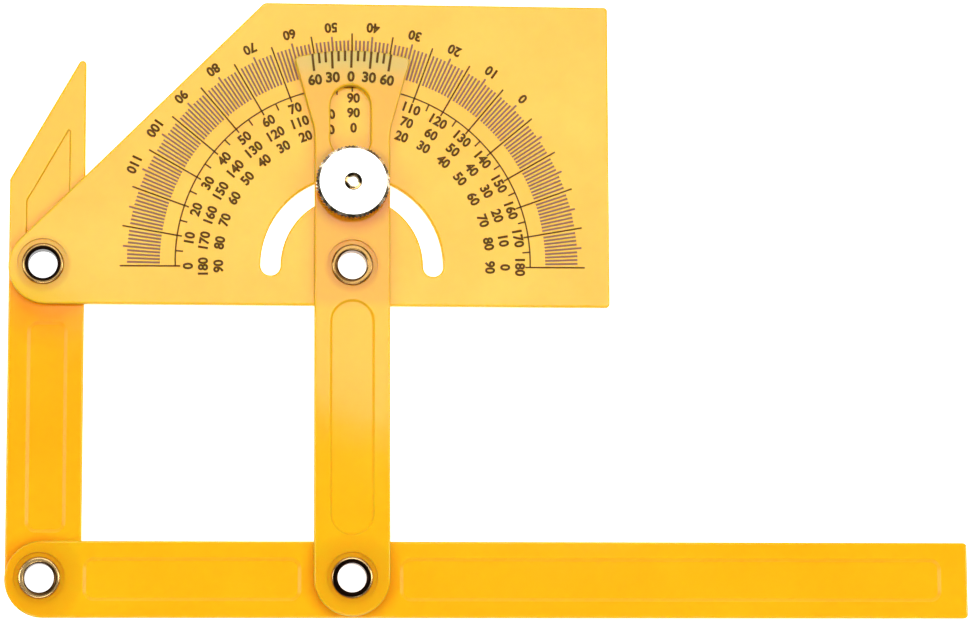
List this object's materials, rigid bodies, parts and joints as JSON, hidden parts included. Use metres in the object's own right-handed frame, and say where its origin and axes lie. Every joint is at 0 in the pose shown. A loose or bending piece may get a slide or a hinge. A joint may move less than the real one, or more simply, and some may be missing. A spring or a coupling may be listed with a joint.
{
  "type": "articulated drafting protractor",
  "caption": "Articulated drafting protractor: a graduated plate and linked plastic arms with hollow pivots, a vernier pointer and a thumb-nut lock.",
  "frame": {"origin": "centre of the degree scale, on the centre eyelet's axis, in the plane of the plate's graduated face", "axes": "+X along the base arm towards its square end, +Y from the base arm towards the plate, +Z out of the graduated face"},
  "size_m": [0.2497, 0.1613, 0.0118],
  "materials": {
    "amber_plate": "polished translucent amber acrylic sheet with a printed scale",
    "amber_arm": "polished translucent amber moulding with sunk panels",
    "eyelet_brass": "nickel-washed brass, rolled rims",
    "bright_plating": "bright nickel plate, fine turned face, knurled rim",
    "scale_ink": "brown-black printed scale lines and numbers"
  },
  "bodies": {
    "plate": {"protractor_plate": "amber_plate", "plate_left_eyelet": "eyelet_brass", "plate_centre_eyelet": "eyelet_brass"},
    "pointed_arm": {"left_arm": "amber_arm"},
    "vernier_arm": {"centre_arm": "amber_arm"},
    "rule": {"base_arm": "amber_arm", "base_left_eyelet": "eyelet_brass", "base_centre_eyelet": "eyelet_brass"},
    "clamp_screw": {"lock_screw": "bright_plating"},
    "clamp_nut": {"thumb_nut": "bright_plating"}
  },
  "joints": [
    {"name": "vernier_arm_swing", "type": "hinge", "parent": "plate", "child": "vernier_arm", "pos_m": [0, 0, 0], "axis": [0, 0, 1], "range_deg": [-75, 75]},
    {"name": "pointed_arm_swing", "type": "hinge", "parent": "plate", "child": "pointed_arm", "pos_m": [-0.08, 0, 0], "axis": [0, 0, 1], "range_deg": [-75, 75]},
    {"name": "rule_pivot", "type": "hinge", "parent": "vernier_arm", "child": "rule", "pos_m": [0, -0.0813, 0], "axis": [0, 0, 1], "range_deg": [-75, 75]},
    {"name": "screw_drop", "type": "slide", "parent": "vernier_arm", "child": "clamp_screw", "axis": [0, 0, -1], "range_m": [0, 0.000466]},
    {"name": "nut_turn", "type": "hinge", "parent": "vernier_arm", "child": "clamp_nut", "pos_m": [0, 0.0212, 0], "axis": [0, 0, 1], "range_deg": [0, 240]}
  ],
  "couplings": [
    {"joint": "pointed_arm_swing", "follows": "vernier_arm_swing", "ratio": 1},
    {"joint": "rule_pivot", "follows": "vernier_arm_swing", "ratio": -1},
    {"joint": "nut_turn", "follows": "screw_drop", "rad_per_m": 8976}
  ]
}
